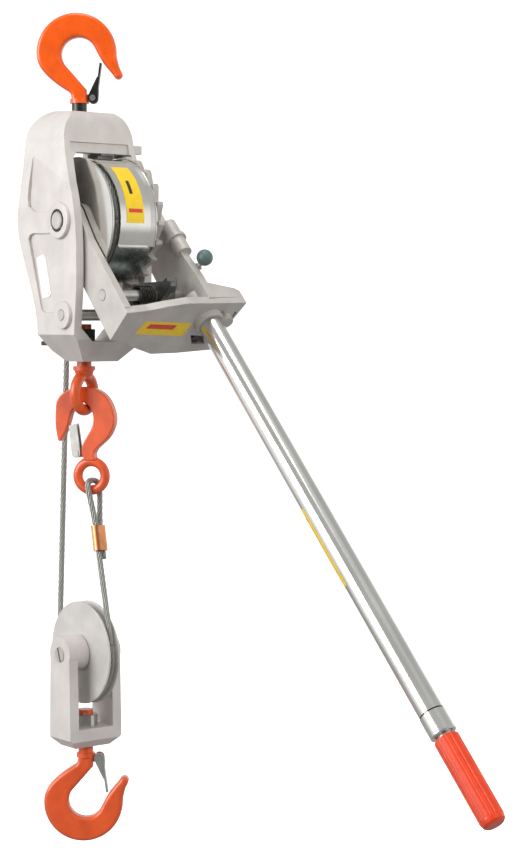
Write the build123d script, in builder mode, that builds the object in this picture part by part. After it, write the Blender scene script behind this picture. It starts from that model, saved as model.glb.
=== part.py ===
"""Lever-operated cable winch-hoist (come along) with a single-sheave block, all sizes in mm.

Frame: +Z up, +X towards the handle side, +Y from the plain cheek to the ratchet side.
Origin: centre of the top hook's bowl, on the load line.
"""
from build123d import *
import os
from math import acos, atan2, cos, degrees, radians, sin

os.makedirs("parts", exist_ok=True)

# ---- Driving dimensions -------------------------------------------------------------------------
drum_x = 34.0            # drum axis, forward of the load line
drum_z = -178.5          # drum axis below the top hook's bowl
cheek_y = 48.0           # half width over the frame's two cheeks
boss_proud = 4.0
shaft_r = 9.5
run_gap = 0.05           # radial clearance of a turning fit
flange_r = 67.0          # plain disc
rim_r = 62.0             # ratchet-side flange, inside the guard
disc_y = -28.0           # outer face of the plain flange disc
disc_t = 2.0
rim_y = 20.0             # inner face of the ratchet-side flange
rim_t = 6.0
ratchet_y = 28.6         # inner face of the teeth, clear of the guard's edge
ratchet_tip_r = 70.0
ratchet_root_r = 62.5
ratchet_w = 7.0
teeth = 21
tooth_phase = 16.4       # angle of one tooth's holding face
tooth_land = 3.0
guard_w = 45.0           # guard over the drum, from guard_y
guard_y = -17.0
core_r = 28.0
wind_r = 58.0            # pitch radius of the outer layer of rope on the drum
rope_d = 6.35
rope_y = 3.3             # where the rope leaves the drum
lever_angle = 43.0       # handle direction, from straight down towards +X
wall_s = 133.0           # yoke wall, distance from the drum axis along the handle
wall_t = 9.0
left_arm_y = -37.0       # outer face of the arm inside the plain cheek
left_arm_t = 8.0
right_arm_y = 62.0       # inner face of the arm outside the ratchet-side cheek
right_arm_t = 9.0
socket_y = 72.0          # handle axis
tube_r = 12.7
tube_start = 121.0
tube_end = 640.0
grip_end = 762.0
hook_yaw = 51.0          # direction of the hooks' planes, from +X towards +Y
hook_t = 17.0
hook_round = 4.2
shank_r = 8.0
eye_x = 7.0              # swivel eye in the frame's lower bridge
block_x = 7.0            # sheave axis
block_z = -639.5
sheave_r = 55.0
sheave_w = 14.0
sheave_pitch_r = 50.0
load_bowl_z = -800.5
becket_yaw = 36.0
pawl_s, pawl_n = 98.7, -8.5        # drive pawl shaft on the yoke

# ---- Planes and small helpers -------------------------------------------------------------------
up = Vector(0, 0, 1)
yaw_x = cos(radians(hook_yaw))
yaw_y = sin(radians(hook_yaw))
lever_s = sin(radians(lever_angle))
lever_c = cos(radians(lever_angle))


def side_plane(y, x=drum_x, z=drum_z):
    """Plane facing -Y with local x = X and local y = Z, centred on the drum axis by default."""
    return Plane(origin=(x, y, z), x_dir=(1, 0, 0), z_dir=(0, -1, 0))


def lever_plane(y):
    """Plane facing -Y with local x along the handle and local y square to it."""
    return Plane(origin=(drum_x, y, drum_z), x_dir=(lever_s, 0, -lever_c), z_dir=(0, -1, 0))


def handle_plane(s, y=socket_y):
    """Plane square to the handle, facing the grip, with local x = Y and local y = the arms' front."""
    origin = (drum_x + s * lever_s, y, drum_z - s * lever_c)
    return Plane(origin=origin, x_dir=(0, 1, 0), z_dir=(lever_s, 0, -lever_c))


def crest_plane(n):
    """Plane square to the arms' front edge, facing back, with local x = Y and local y along the handle."""
    origin = (drum_x + n * lever_c, 0, drum_z + n * lever_s)
    return Plane(origin=origin, x_dir=(0, 1, 0), z_dir=(-lever_c, 0, -lever_s))


def lever_at(s, n, y):
    """Plane facing -Y centred on a point of the lever, with local x along the handle."""
    origin = (drum_x + s * lever_s + n * lever_c, y, drum_z - s * lever_c + n * lever_s)
    return Plane(origin=origin, x_dir=(lever_s, 0, -lever_c), z_dir=(0, -1, 0))


def front_plane(x=0.0, z=drum_z):
    """Plane facing +X with local x = Y and local y = Z, level with the drum axis by default."""
    return Plane(origin=(x, 0, z), x_dir=(0, 1, 0), z_dir=(1, 0, 0))


def flat_plane(x, y, z):
    return Plane(origin=(x, y, z), x_dir=(1, 0, 0), z_dir=(0, 0, 1))


def radial_plane(angle, x=drum_x, z=drum_z):
    """Plane through an axle along Y, with local x outwards at the given angle and local y = Y."""
    a = radians(angle)
    return Plane(origin=(x, 0, z), x_dir=(cos(a), 0, sin(a)), z_dir=(-sin(a), 0, cos(a)))


axle_plane = Plane(origin=(drum_x, 0, drum_z), x_dir=(1, 0, 0), z_dir=(0, 0, 1))
top_plane = Plane(origin=(0, 0, 0), x_dir=(yaw_x, yaw_y, 0), z_dir=(yaw_y, -yaw_x, 0))
load_plane = Plane(origin=(block_x, 0, load_bowl_z), x_dir=(yaw_x, yaw_y, 0), z_dir=(-yaw_y, yaw_x, 0))


def save(part, name):
    part.label = name
    export_step(part, "parts/" + name + ".step")


def polar(radius, angle):
    return (radius * cos(radians(angle)), radius * sin(radians(angle)))


def turned(profile, plane):
    """Turned piece about the plane's local y axis, from (radius, distance) points."""
    with BuildPart() as piece:
        with BuildSketch(plane):
            with BuildLine():
                Polyline(*profile, close=True)
            make_face()
        revolve(axis=Axis(plane.origin, plane.y_dir))
    return piece.part


def rod(start, end, diameter):
    """Straight round rod between two points."""
    run = Vector(*end) - Vector(*start)
    with BuildPart() as piece:
        with BuildSketch(Plane(origin=start, z_dir=run)):
            Circle(diameter / 2)
        extrude(amount=run.length)
    return piece.part


def sector(inner, outer, start, end, y, width):
    """Piece of a ring about the drum axis, from angle start to angle end, spanning y to y + width."""
    with BuildPart() as piece:
        with BuildSketch(side_plane(y)):
            with BuildLine():
                CenterArc((0, 0), outer, start, end - start)
                CenterArc((0, 0), inner, start, end - start)
                Line(polar(inner, start), polar(outer, start))
                Line(polar(inner, end), polar(outer, end))
            make_face()
        extrude(amount=-width)
    return piece.part


# ---- Frame: one aluminium casting, two cheeks and two bridges -------------------------------------
top_bridge_z = 72.0
bottom_bridge_z = -126.0
pawl_shaft_x, pawl_shaft_z = 6.7, -98.3
pawl_shaft_r = 6.0
boss_root = 3.5
panel_depth = 3.2
panel_back, panel_front = -62.0, 10.0       # where the panels' floors are deepest, and where they run out
upper_panel = [(-34, 72), (-44, 72.8), (-52, 71), (-55.2, 67), (-61.6, 26), (-60, 17), (-49.1, 11.4),
               (-22, 10.4),
               (5, 11), (5, 72)]
lower_panel = [(-26, -12.7), (-52, -11.7), (-58.5, -13.5), (-60.7, -17.5), (-38, -88), (-36, -92.5),
               (-31, -95.2),
               (-20, -95.8), (5, -95.8), (5, -12.7)]


def panel(outline, face):
    """Wedge that cuts into a cheek within an outline of (x, z) points, on the -1 or the +1 side."""
    with BuildPart() as tool:
        with BuildSketch(side_plane(0)):
            with BuildLine():
                Polyline(*outline, close=True)
            make_face()
        extrude(amount=cheek_y + 2, both=True)
        with BuildSketch(flat_plane(drum_x, 0, drum_z)):
            with BuildLine():
                Polyline((panel_back, face * (cheek_y - panel_depth)), (panel_front, face * cheek_y),
                         (panel_front, face * (cheek_y + 2)), (panel_back,
                                                               face * (cheek_y + 2)), close=True)
            make_face()
        extrude(amount=130, both=True, mode=Mode.INTERSECT)
    return tool.part


with BuildPart() as frame_casting:
    with BuildSketch(side_plane(0)):
        with BuildLine():
            Line((-48, 119), (-8, 116))
            Spline((-8, 116), (-2, 110), (0.8, 98), (7, 67.6), (18, 39), (25.4, 12), (29.4, -20),
                   (29.4, -72))
            Line((29.4, -72), (24.5, -124))
            Line((24.5, -124), (4, -147.5))
            Line((4, -147.5), (-28, -147.5))
            Line((-28, -147.5), (-40, -136))
            Line((-40, -136), (-44, -116))
            Spline((-44, -116), (-73, -32), (-81.8, 0), (-74, 45), (-69.5, 97), (-63, 112), (-48, 119))
        make_face()
    extrude(amount=cheek_y, both=True)
    with BuildSketch(front_plane()):
        with BuildLine():
            Polyline((-22, -147.6), (22, -147.6), (cheek_y, -119), (cheek_y, 40), (44, 84))
            ThreePointArc((44, 84), (36.5, 107), (16, 120))
            Line((16, 120), (-16, 120))
            ThreePointArc((-16, 120), (-36.5, 107), (-44, 84))
            Polyline((-44, 84), (-cheek_y, 40), (-cheek_y, -119), (-22, -147.6))
        make_face()
    extrude(amount=130, both=True, mode=Mode.INTERSECT)
    # The open middle, straight through from front to rear
    with BuildSketch(front_plane()):
        with BuildLine():
            Polyline((-24, bottom_bridge_z), (24, bottom_bridge_z), (39, -112), (39, 40), (36, 66),
                     (30, top_bridge_z),
                     (-30, top_bridge_z), (-36, 66), (-39, 40), (-39, -112), (-24, bottom_bridge_z))
        make_face()
    extrude(amount=130, both=True, mode=Mode.SUBTRACT)
    # Set-back lower ledge of the top bridge
    with BuildSketch(front_plane(drum_x + 2)):
        with Locations((0, 77)):
            Rectangle(74, 11)
    extrude(amount=14, mode=Mode.SUBTRACT)
    # The bridge's underside rises behind its front lip
    with BuildSketch(flat_plane(22, 0, drum_z + 71.9)):
        with Locations((-50, 0)):
            Rectangle(100, 60)
    extrude(amount=7.6, mode=Mode.SUBTRACT)
    # Panels sunk into the cheeks, deepest at the rear and running out towards the front
    add(panel(upper_panel, -1), mode=Mode.SUBTRACT)
    add(panel(lower_panel, -1), mode=Mode.SUBTRACT)
    add(panel(upper_panel, 1), mode=Mode.SUBTRACT)
    add(panel(lower_panel, 1), mode=Mode.SUBTRACT)
    # Cast lug on the shoulder of the ratchet-side cheek
    with BuildSketch(side_plane(40)):
        with Locations((-2, 77.8)):
            Rectangle(7, 9)
    extrude(amount=-16)
    # Shaft bosses
    for outer, sign in ((-cheek_y, 1), (cheek_y, -1)):
        with BuildSketch(side_plane(outer + boss_root * sign)):
            Circle(19)
        extrude(amount=(boss_proud + boss_root) * sign)
        with BuildSketch(side_plane(outer + boss_root * sign)):
            with Locations((pawl_shaft_x, pawl_shaft_z)):
                Circle(14.5)
        extrude(amount=(boss_proud - 0.5 + boss_root) * sign)
    with BuildSketch(side_plane(0)):
        Circle(shaft_r)
        with Locations((pawl_shaft_x, pawl_shaft_z)):
            Circle(pawl_shaft_r)
    extrude(amount=60, both=True, mode=Mode.SUBTRACT)
    # Counterbores that hold the shaft's retaining rings
    for outer, sign in ((-cheek_y, 1), (cheek_y, -1)):
        with BuildSketch(side_plane(outer - boss_proud * sign)):
            Circle(12)
        extrude(amount=-3.0 * sign, mode=Mode.SUBTRACT)
    # Swivel hole and nut pocket of the top hook, swivel hole of the lower eye
    with BuildSketch(flat_plane(0, 0, drum_z + 120)):
        Circle(shank_r + 0.2)
    extrude(amount=-60, mode=Mode.SUBTRACT)
    with BuildSketch(flat_plane(0, 0, drum_z + 98)):
        Circle(16)
    extrude(amount=-40, mode=Mode.SUBTRACT)
    with BuildSketch(flat_plane(eye_x, 0, drum_z - 100)):
        Circle(shank_r + 0.2)
    extrude(amount=-60, mode=Mode.SUBTRACT)
    # Holes of the guard band's anchor pin and the cable guide
    with BuildSketch(flat_plane(drum_x - 6, -2, drum_z + 60)):
        Circle(3.05)
    extrude(amount=30, mode=Mode.SUBTRACT)
    with BuildSketch(flat_plane(0, -8, drum_z - 131)):
        with Locations((-24, 0)):
            Rectangle(40, 38)
    extrude(amount=4.5, mode=Mode.SUBTRACT)
    # Room for the ratchet wheel under the top bridge
    with BuildSketch(side_plane(22)):
        Circle(ratchet_tip_r + 1.8)
    extrude(amount=-17, mode=Mode.SUBTRACT)
    fillet(frame_casting.edges().filter_by(GeomType.CIRCLE).filter_by(
        lambda e: abs(e.radius - 19) < 0.01 and abs(e.center().Y) > cheek_y + 3), 1.0)
save(frame_casting.part, "frame_casting")

# The name plate lies on the lower panel's sloping floor
panel_slope = degrees(atan2(panel_depth, panel_front - panel_back))
plate_plane = Plane(origin=(drum_x, -cheek_y + panel_depth * panel_front / (panel_front - panel_back),
                            drum_z),
                    x_dir=(cos(radians(panel_slope)), -sin(radians(panel_slope)), 0),
                    z_dir=(-sin(radians(panel_slope)), -cos(radians(panel_slope)), 0))
with BuildPart() as name_plate:
    with BuildSketch(plate_plane):
        with BuildLine():
            Polyline((-48.5, -37.6), (-33.6, -34.2), (-29.5, -38.8), (-18.8, -75.8), (-23, -79.4),
                     (-36, -80.9),
                     close=True)
        make_face()
    extrude(amount=0.8)
    with BuildSketch(plate_plane.offset(0.8)):
        with Locations((-38, -41), (-25, -75)):
            Circle(1.6)
    extrude(amount=0.7)
save(name_plate.part, "name_plate")

with BuildPart() as cable_guide:
    with BuildSketch(flat_plane(0, -8, drum_z - 131)):
        with Locations((-22.5, 0)):
            Rectangle(37, 38)
        with Locations((-30, 9.5)):
            Circle(6.5, mode=Mode.SUBTRACT)
    extrude(amount=4.5)
    fillet(cable_guide.edges().filter_by(Axis.Z).group_by(Axis.X)[0], 8)
save(cable_guide.part, "cable_guide")

# ---- Shafts -------------------------------------------------------------------------------------
ring_grooves = (-cheek_y - boss_proud + 1.4, 72.2)
with BuildPart() as drum_shaft:
    with BuildSketch(side_plane(-cheek_y - 5)):
        Circle(shaft_r)
    extrude(amount=-(cheek_y + 5 + 76))
    for groove_y in ring_grooves:
        with BuildSketch(side_plane(groove_y)):
            Circle(shaft_r + 1)
            Circle(shaft_r - 1, mode=Mode.SUBTRACT)
        extrude(amount=-1.3, mode=Mode.SUBTRACT)
    chamfer(drum_shaft.faces().filter_by(Axis.Y).group_by(Axis.Y)[0].edges(), 1.0)
    chamfer(drum_shaft.faces().filter_by(Axis.Y).group_by(Axis.Y)[-1].edges(), 1.0)
save(drum_shaft.part, "drum_shaft")

with BuildPart() as shaft_rings:
    for groove_y in ring_grooves:
        with BuildSketch(side_plane(groove_y)):
            Circle(shaft_r + 2)
            Circle(shaft_r - 1, mode=Mode.SUBTRACT)
            with Locations(polar(shaft_r + 1, -60)):
                Rectangle(5, 5, rotation=-60, mode=Mode.SUBTRACT)
        extrude(amount=-1.2)
save(shaft_rings.part, "shaft_rings")

with BuildPart() as hold_pawl_shaft:
    with BuildSketch(side_plane(-cheek_y - 4.2)):
        with Locations((pawl_shaft_x, pawl_shaft_z)):
            Circle(pawl_shaft_r)
    extrude(amount=-2 * (cheek_y + 4.2))
    chamfer(hold_pawl_shaft.edges().filter_by(GeomType.CIRCLE), 0.8)
save(hold_pawl_shaft.part, "hold_pawl_shaft")


def spring(plane, length, radius, wire, turns):
    """Round-wire coil spring along the plane's normal."""
    with BuildPart() as piece:
        with BuildLine() as path:
            Helix(length / turns, length, radius, center=plane.origin, direction=plane.z_dir)
        with BuildSketch(Plane(origin=path.line @ 0, z_dir=path.line % 0)):
            Circle(wire / 2)
        sweep(is_frenet=True)
    return piece.part


hold_spring_plane = side_plane(25, drum_x + pawl_shaft_x, drum_z + pawl_shaft_z)
save(spring(hold_spring_plane, 14, 8.2, 1.8, 6), "hold_pawl_spring")

# ---- Guard band over the front of the drum, hung from the top bridge ------------------------------
pin_x, pin_y = -6.0, -2.0
guard_edge = guard_y + guard_w
pin_hole = Pos(drum_x + pin_x, pin_y, drum_z + 66) * Cylinder(3.05, 8)
with BuildPart() as guard_band:
    with BuildSketch(radial_plane(101)):
        with BuildLine():
            Polyline((64.6, guard_y), (66, guard_y), (66, guard_edge - 7), (67.2, guard_edge - 1.2),
                     (68.2, guard_edge - 1.2), (68.2, guard_edge), (66, guard_edge),
                     (64.6, guard_edge - 6), close=True)
        make_face()
    revolve(axis=Axis(axle_plane.origin, (0, 1, 0)), revolution_arc=125)
    with BuildSketch(radial_plane(-24)):
        with Locations((66.5, guard_y + 19)):
            Rectangle(3.8, 38)
    revolve(axis=Axis(axle_plane.origin, (0, 1, 0)), revolution_arc=1.2)
    add(pin_hole, mode=Mode.SUBTRACT)
save(guard_band.part, "guard_band")
save(sector(62.6, 63.8, -110, -18, guard_y, guard_w), "guard_liner")

with BuildPart() as guard_pin:
    with BuildSketch(flat_plane(drum_x + pin_x, pin_y, drum_z + 62.3)):
        Circle(5)
    extrude(amount=1.2)
    with BuildSketch(flat_plane(drum_x + pin_x, pin_y, drum_z + 62.3)):
        Circle(3)
    extrude(amount=26)
    with BuildSketch(flat_plane(drum_x + pin_x, pin_y, drum_z + 66.9)):
        RegularPolygon(5.2, 6)
    extrude(amount=4.2)
save(guard_pin.part, "guard_pin")

with BuildPart() as guard_strap:
    with BuildSketch(front_plane(drum_x - 14)):
        with BuildLine():
            Polyline((4.5, 72), (21.5, 72), (21.5, 68.5), (19.5, 68.5), (19.5, 70), (4.5, 70),
                     close=True)
        make_face()
    extrude(amount=14)
save(guard_strap.part, "guard_strap")

# ---- Drum: barrel, plain disc, ratchet wheel, bush and the rope wound on it ------------------------
barrel = turned([(12, -26), (core_r, -26), (core_r, rim_y), (rim_r, rim_y), (rim_r, rim_y + rim_t),
                 (22, rim_y + rim_t), (22, 37), (12, 37)],
                axle_plane)
save(barrel, "drum_barrel")
disc = turned([(12, disc_y), (flange_r - 0.6, disc_y), (flange_r, disc_y + 0.6),
               (flange_r, disc_y + disc_t),
               (12, disc_y + disc_t)], axle_plane)
save(disc, "drum_disc")
bush = turned([(shaft_r + run_gap, disc_y), (12, disc_y), (12, 37), (shaft_r + run_gap, 37)], axle_plane)
save(bush, "drum_bush")

tooth_step = 360 / teeth
with BuildPart() as ratchet_wheel:
    with BuildSketch(side_plane(rim_y + rim_t)):
        Circle(rim_r)
        Circle(22, mode=Mode.SUBTRACT)
    extrude(amount=-(ratchet_y - rim_y - rim_t))
    with BuildSketch(side_plane(ratchet_y)):
        Circle(ratchet_root_r)
        for tooth in range(teeth):
            face_at = tooth_phase + tooth * tooth_step
            with BuildLine():
                Line(polar(ratchet_root_r - 2, face_at), polar(ratchet_tip_r, face_at))
                CenterArc((0, 0), ratchet_tip_r, face_at, -tooth_land)
                Line(polar(ratchet_tip_r, face_at - tooth_land),
                     polar(ratchet_root_r - 0.3, face_at - tooth_step))
                Line(polar(ratchet_root_r - 0.3, face_at - tooth_step),
                     polar(ratchet_root_r - 2, face_at))
            make_face()
        Circle(22, mode=Mode.SUBTRACT)
    extrude(amount=-ratchet_w)
save(ratchet_wheel.part, "ratchet_wheel")

# The live rope: both ends of its run down to the sheave are common tangents
block_run = Vector(block_x - drum_x, block_z - drum_z)
leave_at = degrees(atan2(block_run.Y,
                         block_run.X) - acos((wind_r - sheave_pitch_r) / block_run.length)) + 360


turn_pitch = 6.4
turn_y = [rope_y + turn_pitch * k for k in range(-4, 3)]
with BuildPart() as rope_coil:
    with BuildSketch(axle_plane):
        with BuildLine():
            Polyline((core_r + 0.2, -25.5), (wind_r, -25.5), (wind_r, 0), (wind_r - 6.4, 0),
                     (wind_r - 6.4, 19.5),
                     (core_r + 0.2, 19.5), (core_r + 0.2, -25.5))
        make_face()
        for y in turn_y:
            with Locations((wind_r if y < 0 else wind_r - 6.4, y)):
                Circle(rope_d / 2)
    revolve(axis=Axis(axle_plane.origin, (0, 1, 0)))
    # The last turn, up to where the rope leaves the drum
    with BuildSketch(radial_plane(leave_at - 0.5)):
        with Locations((wind_r, rope_y)):
            Circle(rope_d / 2)
    revolve(axis=Axis(axle_plane.origin, (0, 1, 0)), revolution_arc=322)
save(rope_coil.part, "rope_coil")

# ---- Hooks: one profile for the top hook and the load hook ----------------------------------------
latch_x, latch_y = 14.6, -46.0


collar_end = 51.5


def hook_shank(plane, shank_end, cotter_y):
    """Round shank below a hook's collar, with the hole of its cotter."""
    with BuildPart() as shank:
        with BuildSketch(Plane(origin=plane.origin - plane.y_dir * collar_end, z_dir=-plane.y_dir)):
            Circle(shank_r)
        extrude(amount=shank_end - collar_end)
        with BuildSketch(plane):
            with Locations((0, cotter_y)):
                Circle(1.65)
        extrude(amount=10, both=True, mode=Mode.SUBTRACT)
    return shank.part


def hook_body(plane):
    """Hook with a round bowl about the plane's origin and a collar down the plane's -y."""
    stem = Plane(origin=plane.origin - plane.y_dir * 47, z_dir=-plane.y_dir)
    with BuildPart() as body:
        with BuildSketch(plane):
            with BuildLine():
                Polyline((-8, -48), (8, -48), (8, -37), (-13.3, -12.6))
                ThreePointArc((-13.3, -12.6), (-10.5, 15.0), (16.3, 8.3))
                Spline((16.3, 8.3), (24.2, -6.2), (31.6, -16), (36.9, -22.3),
                       tangents=((0.454, -0.891), (0.6, -0.8)))
                ThreePointArc((36.9, -22.3), (43.2, -25.6), (46.5, -21))
                Spline((46.5, -21), (43.6, -14.5), (41, -5.4), (40, 1.5),
                       tangents=((-0.3, 0.95), (0, 1)))
                ThreePointArc((40, 1.5), (-2.5, 44), (-45, 1.5))
                Spline((-45, 1.5), (-41.6, -12.5), (-31, -25), (-13, -38), (-8, -48),
                       tangents=((0, -1), (0, -1)))
            make_face()
        extrude(amount=hook_t / 2, both=True)
        rim = body.faces().filter_by(Plane(origin=(0, 0, 0), z_dir=plane.z_dir)).edges()
        fillet(rim.filter_by(lambda e: plane.to_local_coords(e @ 0.5).Y > -47.5), hook_round)
        with BuildSketch(stem):
            Circle(10)
        extrude(amount=collar_end - 47)
        # Lug of the safety latch
        with BuildSketch(plane):
            with Locations((latch_x, latch_y)):
                Circle(4)
            with Locations((9, latch_y)):
                Rectangle(10, 8)
        extrude(amount=4, both=True)
        with BuildSketch(plane):
            with Locations((latch_x, latch_y)):
                Circle(2)
        extrude(amount=4.5, both=True, mode=Mode.SUBTRACT)
    return body.part


def latch(plane, x, y, eye_r, blade, cheek_ends, width):
    """Folded sheet latch: two cheeks on the pivot and a blade across them."""
    with BuildPart() as sheet:
        for side in (-1, 1):
            with BuildSketch(plane.offset(side * (width / 2 - 1.1))):
                with Locations((x, y)):
                    Circle(eye_r)
                with Locations(*cheek_ends):
                    Circle(1.2)
                make_hull()
                with Locations((x, y)):
                    Circle(2.05, mode=Mode.SUBTRACT)
            extrude(amount=1.1, both=True)
        with BuildSketch(plane):
            with BuildLine():
                Polyline(*blade, close=True)
            make_face()
        extrude(amount=width / 2, both=True)
    return sheet.part


hook_blade = [(17.9, -40), (19.9, -40), (24.1, -9), (22.1, -9)]


def pivot_pin(plane, x, y, half):
    """Headed pin through a latch and its lug."""
    with BuildPart() as pin:
        with BuildSketch(plane):
            with Locations((x, y)):
                Circle(2)
        extrude(amount=half, both=True)
        for side in (-1, 1):
            with BuildSketch(plane.offset(side * (half - 0.5))):
                with Locations((x, y)):
                    Circle(3.2)
            extrude(amount=0.5, both=True)
    return pin.part


def hex_nut(bottom_plane, across, height, bore):
    with BuildPart() as nut:
        with BuildSketch(bottom_plane):
            RegularPolygon(across / 2, 6, major_radius=False)
            Circle(bore, mode=Mode.SUBTRACT)
        extrude(amount=height)
        with BuildSketch(bottom_plane):
            Circle(across / 2 * 1.08)
            Circle(bore, mode=Mode.SUBTRACT)
        extrude(amount=height, taper=0, mode=Mode.INTERSECT)
    return nut.part


save(hook_body(top_plane), "top_hook")
save(hook_shank(top_plane, 102, -98), "top_hook_shank")
save(latch(top_plane, latch_x, latch_y, 5.4, hook_blade, [(20, -25)], 13), "top_latch")
save(pivot_pin(top_plane, latch_x, latch_y, 7.7), "top_latch_pin")
with BuildPart() as top_hook_washer:
    with BuildSketch(flat_plane(0, 0, drum_z + 97.8)):
        Circle(14)
        Circle(shank_r + run_gap, mode=Mode.SUBTRACT)
    extrude(amount=-2)
save(top_hook_washer.part, "top_hook_washer")
save(hex_nut(flat_plane(0, 0, drum_z + 83.5), 24, 12, shank_r + run_gap), "top_hook_nut")

save(hook_body(load_plane) + hook_shank(load_plane, 99, -95.5), "load_hook")
save(latch(load_plane, latch_x, latch_y, 5.4, hook_blade, [(20, -25)], 13), "load_latch")
save(pivot_pin(load_plane, latch_x, latch_y, 7.7), "load_latch_pin")
save(hex_nut(flat_plane(block_x, 0, block_z - 79.8), 24, 12.5, shank_r + run_gap), "load_hook_nut")
cotter_z = load_bowl_z + 95.5
save(rod((block_x - 15 * yaw_y, 15 * yaw_x, cotter_z), (block_x + 15 * yaw_y, -15 * yaw_x, cotter_z),
         3.2),
     "load_hook_cotter")
cotter_z = -98.0
save(rod((-13 * yaw_y, 13 * yaw_x, cotter_z), (13 * yaw_y, -13 * yaw_x, cotter_z), 3.2),
     "top_hook_cotter")

# ---- Eye bolt under the frame, and the becket hook that hangs in it ---------------------------------
eye_z = drum_z - 181.5
ring_turn = 25.0
with BuildPart() as eye_bolt:
    with BuildSketch(flat_plane(eye_x, 0, drum_z - 108)):
        Circle(shank_r)
    extrude(amount=-58)
    with BuildSketch(flat_plane(eye_x, 0, drum_z - 153)):
        Circle(12)
    extrude(amount=-4.5)
    with BuildSketch(flat_plane(eye_x, 0, drum_z - 157.5)):
        Circle(10.5)
    extrude(amount=-6, taper=15)
    ring_across = Vector(-sin(radians(ring_turn)), cos(radians(ring_turn)), 0)
    ring_through = Vector(cos(radians(ring_turn)), sin(radians(ring_turn)), 0)
    with BuildSketch(Plane(origin=(eye_x, 0, eye_z), x_dir=ring_across, z_dir=(0, 0, 1))):
        with Locations((18.5, 0)):
            Circle(6)
    revolve(axis=Axis((eye_x, 0, eye_z), ring_through))
save(eye_bolt.part, "eye_bolt")
save(hex_nut(flat_plane(eye_x, 0, drum_z - 125.8), 22, 12.5, shank_r + run_gap), "eye_nut")

becket_x = Vector(cos(radians(becket_yaw)), sin(radians(becket_yaw)), 0)
becket_face = Vector(becket_x.Y, -becket_x.X, 0)
becket_plane = Plane(origin=(eye_x, 0, drum_z), x_dir=becket_x, z_dir=becket_face)
loop_x, loop_z, loop_r, loop_bar = 7.9, -270.5, 15.3, 5.2
becket_latch_x, becket_latch_z = -8.0, -246.5

with BuildPart() as becket_hook:
    with BuildSketch(becket_plane):
        with BuildLine():
            Spline((14, -253), (13.5, -244), (20.2, -236.8), (27.9, -229.5), (33.6, -219.6),
                   (35.8, -208.8),
                   (33.6, -198), (28.2, -187.3), (17.1, -178.2), (2, -175), (-13, -177),
                    (-23, -182), (-29.3, -190),
                   (-30.8, -200), (-31, -215), (-28.5, -231))
            ThreePointArc((-28.5, -231), (-26.3, -233.4), (-24.0, -230.5))
            Spline((-24.0, -230.5), (-19.6, -223), (-15.3, -211), (-10.9, -199), (-1, -191.6),
                   (9, -198.6),
                   (11.9, -208.8), (10.8, -216.3), (5.8, -226), (-0.3, -236.8), (1.5, -253))
            Line((1.5, -253), (14, -253))
        make_face()
    extrude(amount=6.3, both=True)
    rim = becket_hook.faces().filter_by(Plane(origin=(0, 0, 0), z_dir=becket_face)).edges()
    fillet(rim.filter_by(lambda e: becket_plane.to_local_coords(e @ 0.5).Y > -252.5), 1.6)
    with BuildSketch(becket_plane):
        with Locations((becket_latch_x, becket_latch_z)):
            Circle(4)
        with Locations((-2.5, becket_latch_z)):
            Rectangle(11, 8)
    extrude(amount=3, both=True)
    with BuildSketch(becket_plane):
        with Locations((becket_latch_x, becket_latch_z)):
            Circle(2)
    extrude(amount=5, both=True, mode=Mode.SUBTRACT)
    with BuildSketch(Plane(origin=becket_plane.from_local_coords((loop_x, loop_z, 0)), x_dir=(0, 0, 1),
                           z_dir=becket_x)):
        with Locations((loop_r, 0)):
            Circle(loop_bar)
    revolve(axis=Axis(becket_plane.from_local_coords((loop_x, loop_z, 0)), becket_face))
save(becket_hook.part, "becket_hook")

becket_blade = [(-12.9, -241), (-11.2, -241), (-14.1, -216.6), (-15.8, -217.2)]
save(latch(becket_plane, becket_latch_x, becket_latch_z, 4.8, becket_blade,
           [(-14.6, -217.5), (-8.8, -215.8)], 10.6),
     "becket_latch")
save(pivot_pin(becket_plane, becket_latch_x, becket_latch_z, 6.3), "becket_latch_pin")

# ---- Rope: eye round the becket ring, ferrule, two runs and the half turn on the sheave --------------
loop_centre = becket_plane.from_local_coords((loop_x, loop_z, 0))
hang = loop_centre + (becket_x * sin(radians(10)) - up * cos(radians(10))) * loop_r
sheave_centre = Vector(block_x, 0, block_z)
to_hang = Vector(hang.X - block_x, hang.Z - block_z)
land_at = degrees(atan2(to_hang.Y, to_hang.X) - acos(sheave_pitch_r / to_hang.length))
land = sheave_centre + Vector(sheave_pitch_r * cos(radians(land_at)), 0,
                              sheave_pitch_r * sin(radians(land_at)))
lift = sheave_centre + Vector(sheave_pitch_r * cos(radians(leave_at)), 0,
                              sheave_pitch_r * sin(radians(leave_at)))
leave = Vector(drum_x + wind_r * cos(radians(leave_at)), rope_y,
               drum_z + wind_r * sin(radians(leave_at)))
pull = (land - hang).normalized()
side = Vector(0.244, -0.969, 0)
side = (side - pull * side.dot(pull)).normalized()
lobe = 3.3
loop_turn_r = 9.4
ferrule_top, ferrule_length, tail_length = 39.0, 27.0, 9.0


def on_loop(across, along):
    """Point of the rope eye: across from the line of pull, and along it from the ring's bar."""
    return hang + side * across + pull * along


def at_mouth(vertex):
    """True for the two corners of the eye where its legs enter the ferrule."""
    offset = Vector(vertex) - on_loop(0, neck_along)
    return abs(offset.dot(pull)) < 1 and abs(offset.dot(side)) < 2 * lobe


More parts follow.
